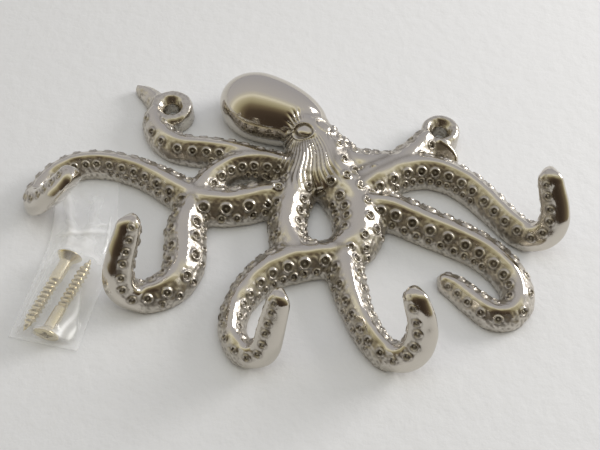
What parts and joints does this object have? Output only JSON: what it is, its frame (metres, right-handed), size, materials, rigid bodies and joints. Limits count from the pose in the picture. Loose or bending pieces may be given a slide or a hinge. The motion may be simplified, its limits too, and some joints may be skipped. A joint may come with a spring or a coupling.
{
  "type": "wall hook",
  "caption": "Cast octopus wall hook with an egg-shaped mantle and sucker-covered arms that rise as hooks or end in screw bosses, beside a clear film bag of wood screws.",
  "frame": {"origin": "midway between the centres of the two screw holes, on the flat back face", "axes": "+Z out of the wall, through the screw holes; +Y up the wall, from the lower hooks to the mantle; +X to the right, along the line of the two screw holes"},
  "size_m": [0.1818, 0.1142, 0.0317],
  "materials": {
    "antiqued_nickel": "polished plate on a casting, with dark patina left in the recesses",
    "yellow_zinc_screw": "bright, slightly yellow plated screw",
    "clear_film": "clear glossy film with creases"
  },
  "bodies": {
    "casting": {"mantle": "antiqued_nickel", "head": "antiqued_nickel", "web_left": "antiqued_nickel", "web_right": "antiqued_nickel", "arm_left": "antiqued_nickel", "arm_inner_left_root": "antiqued_nickel", "arm_inner_left": "antiqued_nickel", "arm_lower_left": "antiqued_nickel", "arm_lower_middle": "antiqued_nickel", "arm_lower_right": "antiqued_nickel", "arm_right": "antiqued_nickel", "arm_screw_left": "antiqued_nickel", "arm_screw_right": "antiqued_nickel"},
    "fixing_pack": {"screw_bag": "clear_film", "wood_screw_1": "yellow_zinc_screw", "wood_screw_2": "yellow_zinc_screw"}
  },
  "joints": [
    {"name": "bag_slide", "type": "slide", "parent": "casting", "child": "fixing_pack", "axis": [0, -1, 0], "range_m": [0, 0.06]}
  ]
}
